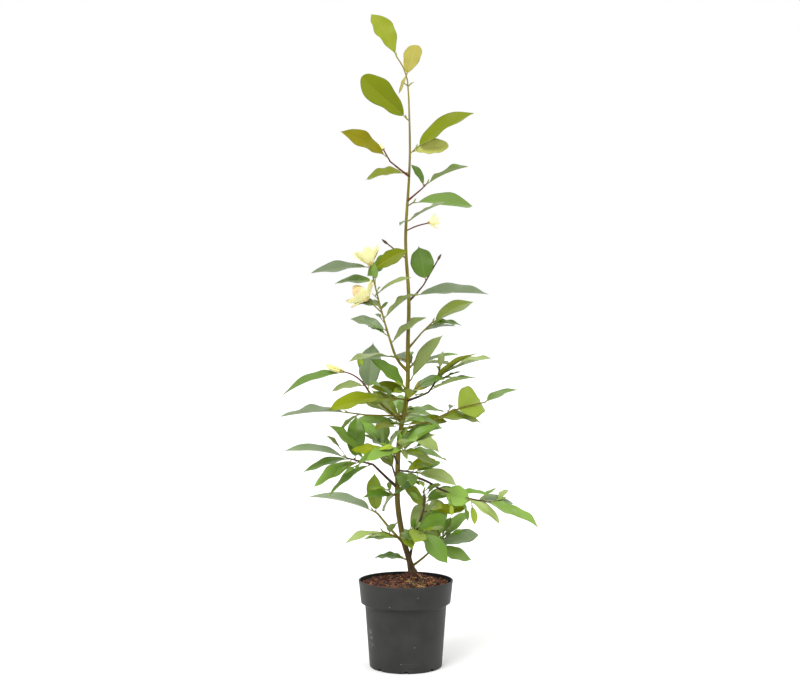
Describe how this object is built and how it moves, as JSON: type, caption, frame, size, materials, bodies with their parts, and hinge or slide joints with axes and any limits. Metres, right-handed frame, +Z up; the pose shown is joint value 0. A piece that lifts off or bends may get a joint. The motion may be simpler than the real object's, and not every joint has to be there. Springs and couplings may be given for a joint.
{
  "type": "potted magnolia tree",
  "caption": "Young evergreen magnolia with a slender leaning trunk, boughs, sprigs of pointed oval leaves and cream flowers, growing in a round dark nursery pot filled with bark compost.",
  "frame": {"origin": "centre of the pot's flat underside", "axes": "+Z up, +X across the plant to the right of someone who faces its front, +Y away from its front"},
  "size_m": [0.4742, 0.3958, 1.1744],
  "materials": {
    "pot": "satin dark grey, lightly scuffed",
    "compost": "loose reddish brown bark chips",
    "bark": "dull brown bark, green towards the top",
    "twig": "dull olive brown bark",
    "foliage": "soft sheen, with cream flowers and buds"
  },
  "bodies": {
    "root": {"pot": "pot", "compost": "compost", "trunk": "bark", "bough_top_left": "twig", "bough_top_right": "twig", "bough_bud_right": "twig", "bough_long_left": "twig", "bough_upper_right": "twig", "bough_flower_left": "twig", "bough_thin_left": "twig", "bough_mid_right": "twig", "bough_right": "twig", "bough_low_left": "twig", "bough_low_right": "twig", "bough_foot_left": "twig", "bough_foot_right": "twig", "bough_basal": "twig", "bough_back": "twig", "bough_front": "twig", "sprig_crown": "foliage", "sprig_upper_left": "foliage", "sprig_upper_right": "foliage", "sprig_top_left": "foliage", "sprig_second_left": "foliage", "sprig_top_right": "foliage", "sprig_second_right": "foliage", "sprig_third_right": "foliage", "sprig_blossom_right": "foliage", "sprig_bud_right": "foliage", "sprig_wavy_right": "foliage", "sprig_third_left": "foliage", "sprig_long_left": "foliage", "sprig_edge_left": "foliage", "sprig_front_left": "foliage", "sprig_flower_left": "foliage", "sprig_olive_left": "foliage", "sprig_thin_left": "foliage", "sprig_low_left": "foliage", "sprig_inner_left": "foliage", "sprig_foot_left": "foliage", "sprig_base_left": "foliage", "sprig_dark_left": "foliage", "sprig_ground_left": "foliage", "sprig_upper_right_mid": "foliage", "sprig_edge_right": "foliage", "sprig_diagonal_right": "foliage", "sprig_mid_right": "foliage", "sprig_cluster_right": "foliage", "sprig_narrow_right": "foliage", "sprig_far_right": "foliage", "sprig_front_cross": "foliage", "sprig_droop_right": "foliage", "sprig_low_edge_right": "foliage", "sprig_low_right": "foliage", "sprig_inner_right": "foliage", "sprig_basal": "foliage", "sprig_foot_right": "foliage", "sprig_foot_inner": "foliage", "sprig_back": "foliage", "sprig_front": "foliage"}
  },
  "joints": []
}
